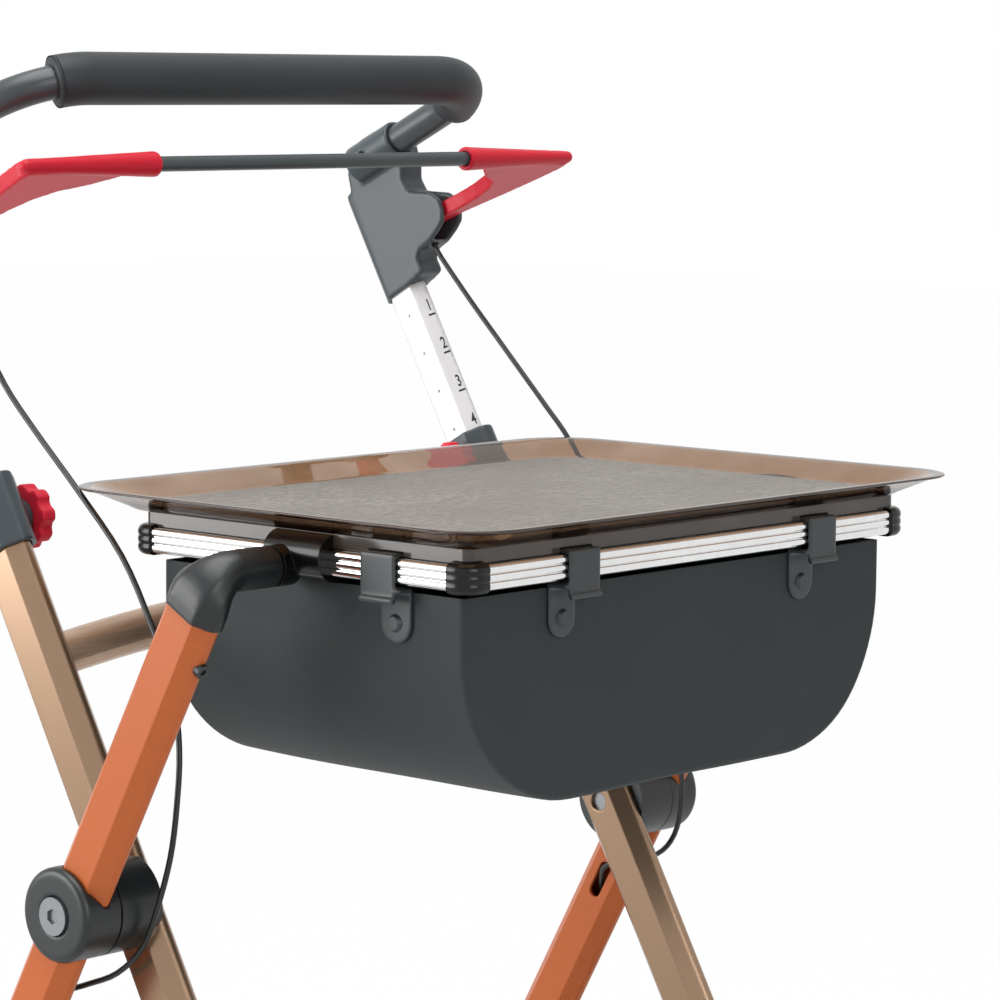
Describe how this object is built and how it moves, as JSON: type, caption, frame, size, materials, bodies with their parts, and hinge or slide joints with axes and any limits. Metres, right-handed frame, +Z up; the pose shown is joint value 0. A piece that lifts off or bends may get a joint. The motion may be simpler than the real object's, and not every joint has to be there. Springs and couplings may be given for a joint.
{
  "type": "indoor walker with tray",
  "caption": "Folding indoor walker on swivel casters and braked rear wheels, with a height-adjustable push bar, one-hand brake lever, lift-off tray and hung fabric basket.",
  "frame": {"origin": "on the floor, under the middle of the walker's box", "axes": "+X to the user's left, +Y towards the user at the rear, +Z up"},
  "size_m": [0.542, 0.554, 0.9265],
  "materials": {
    "bronze_metal": "glossy champagne anodised tube",
    "orange_metal": "satin orange coating on tube",
    "silver_metal": "bright anodised extrusion",
    "dark_metal": "black coated tube",
    "steel": "zinc plated",
    "grey_plastic": "satin slate moulding",
    "black_plastic": "satin black moulding",
    "red_plastic": "satin red moulding",
    "tray_plastic": "smoky glossy sheet",
    "mat_rubber": "pebbled anti-slip sheet",
    "basket_fabric": "charcoal woven shell",
    "grip_foam": "closed-cell foam",
    "cable_jacket": "black cable jacket",
    "tyre": "soft solid tyre"
  },
  "bodies": {
    "front_frame": {"front_leg_left": "bronze_metal", "front_leg_right": "bronze_metal", "arch_bar": "bronze_metal", "inner_hubs": "grey_plastic", "pivot_bolts": "steel", "column_clamp_left": "grey_plastic", "column_clamp_right": "grey_plastic", "caster_socket_left": "grey_plastic", "caster_socket_right": "grey_plastic"},
    "rear_frame": {"rear_leg_left": "orange_metal", "rear_leg_right": "orange_metal", "outer_hubs": "grey_plastic", "leg_elbow_left": "grey_plastic", "leg_elbow_right": "grey_plastic", "leg_buttons": "grey_plastic", "rear_fork_left": "grey_plastic", "rear_fork_right": "grey_plastic", "rear_axles": "steel"},
    "tray_frame": {"rail_sleeve_left": "black_plastic", "rail_sleeve_right": "black_plastic", "side_rail_left": "silver_metal", "side_rail_right": "silver_metal", "front_rail": "silver_metal", "rear_rail": "silver_metal", "rail_corners": "black_plastic", "tray_seat": "black_plastic", "basket": "basket_fabric", "basket_hooks": "black_plastic", "hook_rivets": "steel"},
    "tray": {"tray": "tray_plastic", "tray_mat": "mat_rubber"},
    "handle": {"column_left": "silver_metal", "column_right": "silver_metal", "handle_bracket_left": "grey_plastic", "handle_bracket_right": "grey_plastic", "push_bar": "dark_metal", "grip_foam": "grip_foam", "lever_pins": "steel", "brake_cable_left": "cable_jacket", "brake_cable_right": "cable_jacket"},
    "brake_lever": {"brake_lever_left": "red_plastic", "brake_lever_right": "red_plastic", "brake_rod": "dark_metal"},
    "knob_left": {"clamp_knob_left": "red_plastic"},
    "knob_right": {"clamp_knob_right": "red_plastic"},
    "caster_left": {"caster_fork_left": "grey_plastic", "front_axle_left": "steel"},
    "caster_right": {"caster_fork_right": "grey_plastic", "front_axle_right": "steel"},
    "front_wheel_left": {"front_wheel_left": "grey_plastic", "front_tyre_left": "tyre"},
    "front_wheel_right": {"front_wheel_right": "grey_plastic", "front_tyre_right": "tyre"},
    "rear_wheel_left": {"rear_wheel_left": "grey_plastic", "rear_tyre_left": "tyre"},
    "rear_wheel_right": {"rear_wheel_right": "grey_plastic", "rear_tyre_right": "tyre"},
    "brake_shoe_left": {"brake_shoe_left": "black_plastic"},
    "brake_shoe_right": {"brake_shoe_right": "black_plastic"}
  },
  "joints": [
    {"name": "fold", "type": "hinge", "parent": "front_frame", "child": "rear_frame", "pos_m": [0, -0.007, 0.45], "axis": [-1, 0, 0], "range_deg": [0, 28], "deforming": ["brake_cable_left", "brake_cable_right"]},
    {"name": "tray_tilt", "type": "hinge", "parent": "rear_frame", "child": "tray_frame", "pos_m": [0, -0.11605, 0.65], "axis": [-1, 0, 0], "range_deg": [0, 58]},
    {"name": "tray_lift", "type": "slide", "parent": "front_frame", "child": "tray", "axis": [0, -0.3, 0.9539], "range_m": [0, 0.5]},
    {"name": "handle_height", "type": "slide", "parent": "front_frame", "child": "handle", "axis": [0, 0.4909, 0.8712], "range_m": [-0.084, 0.028], "deforming": ["brake_cable_left", "brake_cable_right"]},
    {"name": "brake_pull", "type": "hinge", "parent": "handle", "child": "brake_lever", "pos_m": [0, 0.16102, 0.81601], "axis": [-1, 0, 0], "range_deg": [0, 14], "stiffness_Nm_per_rad": 4, "springref_deg": -8.59},
    {"name": "shoe_left", "type": "slide", "parent": "rear_frame", "child": "brake_shoe_left", "axis": [0, 0.4787, -0.878], "range_m": [0, 0.0016]},
    {"name": "shoe_right", "type": "slide", "parent": "rear_frame", "child": "brake_shoe_right", "axis": [0, 0.4787, -0.878], "range_m": [0, 0.0016]},
    {"name": "knob_left_turn", "type": "hinge", "parent": "front_frame", "child": "knob_left", "pos_m": [0.182, 0.10934, 0.65648], "axis": [1, 0, 0], "continuous": true},
    {"name": "knob_right_turn", "type": "hinge", "parent": "front_frame", "child": "knob_right", "pos_m": [-0.182, 0.10934, 0.65648], "axis": [1, 0, 0], "continuous": true},
    {"name": "caster_left_swivel", "type": "hinge", "parent": "front_frame", "child": "caster_left", "pos_m": [0.207, -0.15903, 0.2], "axis": [0, 0, 1], "continuous": true},
    {"name": "caster_right_swivel", "type": "hinge", "parent": "front_frame", "child": "caster_right", "pos_m": [-0.207, -0.15903, 0.2], "axis": [0, 0, 1], "continuous": true},
    {"name": "front_wheel_left_roll", "type": "hinge", "parent": "caster_left", "child": "front_wheel_left", "pos_m": [0.207, -0.12503, 0.085], "axis": [1, 0, 0], "continuous": true},
    {"name": "front_wheel_right_roll", "type": "hinge", "parent": "caster_right", "child": "front_wheel_right", "pos_m": [-0.207, -0.12503, 0.085], "axis": [1, 0, 0], "continuous": true},
    {"name": "rear_wheel_left_roll", "type": "hinge", "parent": "rear_frame", "child": "rear_wheel_left", "pos_m": [0.25, 0.192, 0.085], "axis": [1, 0, 0], "continuous": true},
    {"name": "rear_wheel_right_roll", "type": "hinge", "parent": "rear_frame", "child": "rear_wheel_right", "pos_m": [-0.25, 0.192, 0.085], "axis": [1, 0, 0], "continuous": true}
  ],
  "couplings": [
    {"joint": "tray_tilt", "follows": "fold", "ratio": 2},
    {"joint": "tray_lift", "follows": "fold", "m_per_rad": 1},
    {"joint": "shoe_left", "follows": "brake_pull", "m_per_rad": 0.0065},
    {"joint": "shoe_right", "follows": "brake_pull", "m_per_rad": 0.0065}
  ]
}
